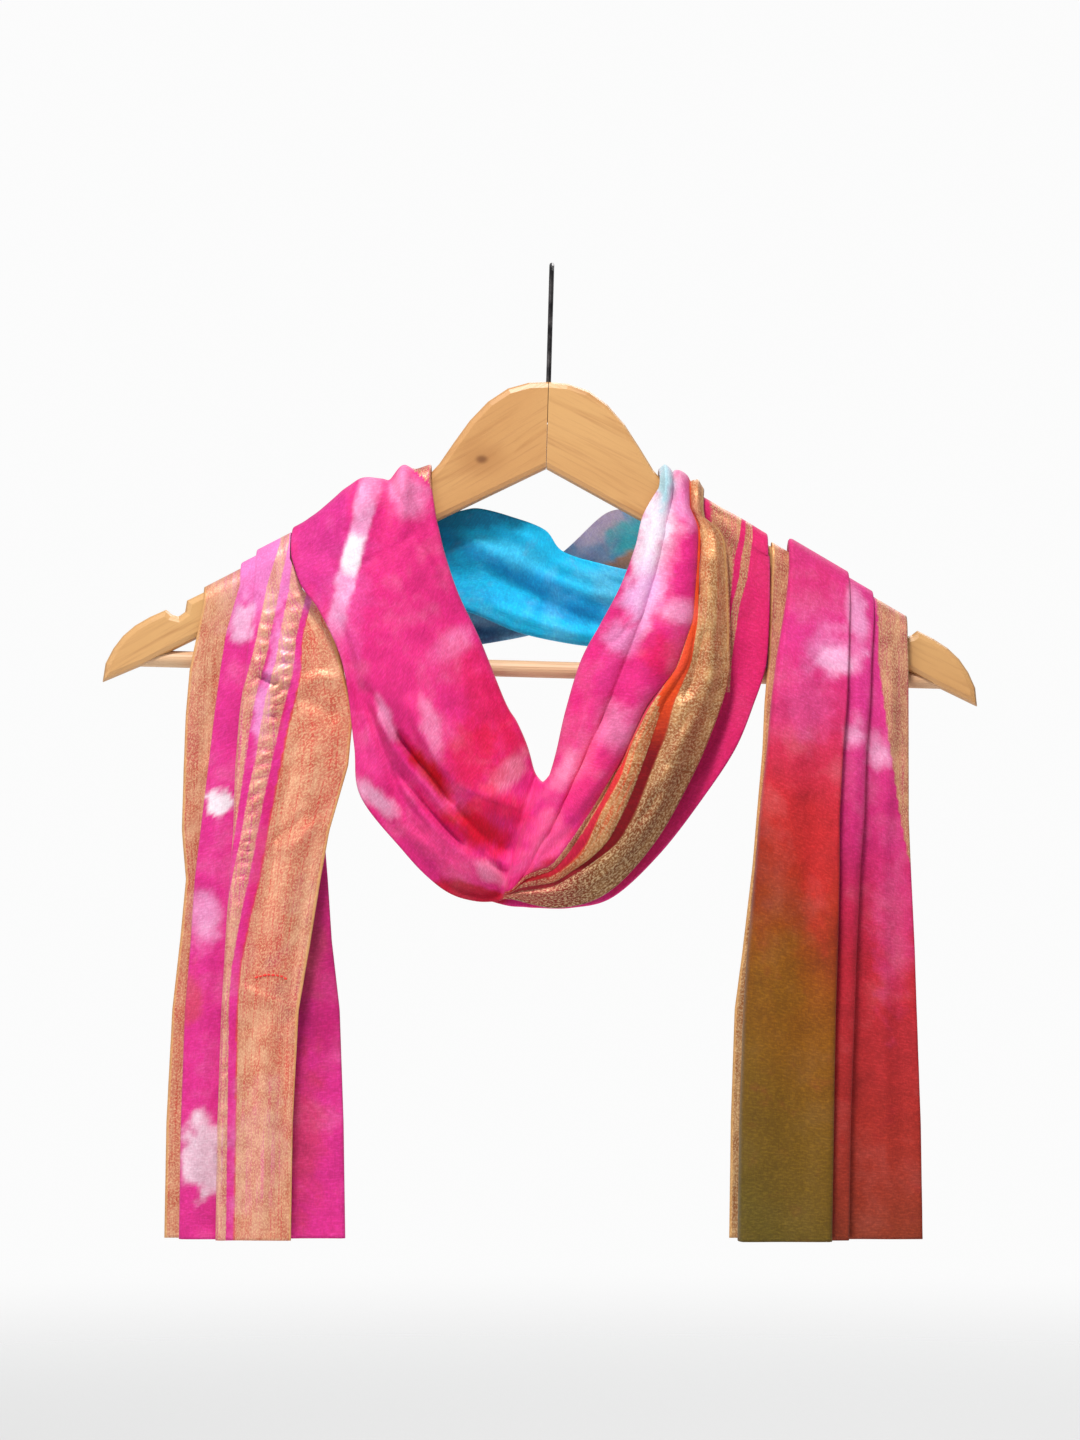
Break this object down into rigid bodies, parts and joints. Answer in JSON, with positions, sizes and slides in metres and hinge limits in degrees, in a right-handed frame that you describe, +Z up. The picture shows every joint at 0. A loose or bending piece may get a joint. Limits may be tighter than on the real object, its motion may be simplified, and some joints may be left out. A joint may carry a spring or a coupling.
{
  "type": "dupatta stole on a wooden coat hanger",
  "caption": "Tie-dyed stole with woven gold borders, wrapped once round a flat wooden coat hanger, its loop in front and both ends hanging.",
  "frame": {"origin": "inner top of the hanger's hook, where the rail carries it", "axes": "+Z up, +X to the viewer's right, -Y towards the viewer who faces the loop"},
  "size_m": [0.4454, 0.0731, 0.4965],
  "materials": {
    "wood": "satin lacquered light hardwood",
    "bar_wood": "turned light hardwood, lacquered",
    "hook_wire": "plated steel wire",
    "cloth_gold": "soft silk-cotton, magenta tie-dye with a woven gold border",
    "cloth_red": "soft silk-cotton, tie-dyed magenta to red and brown",
    "cloth_magenta": "soft silk-cotton, magenta tie-dye with a woven gold border",
    "cloth_blue": "soft silk-cotton, bright blue dye",
    "cloth_lilac": "soft silk-cotton, lilac to turquoise dye"
  },
  "bodies": {
    "root": {"arm_left": "wood", "arm_right": "wood", "trouser_bar": "bar_wood", "hook": "hook_wire", "end_left": "cloth_gold", "end_right": "cloth_red", "loop_front": "cloth_magenta", "crossing_blue": "cloth_blue", "crossing_under": "cloth_lilac"}
  },
  "joints": []
}
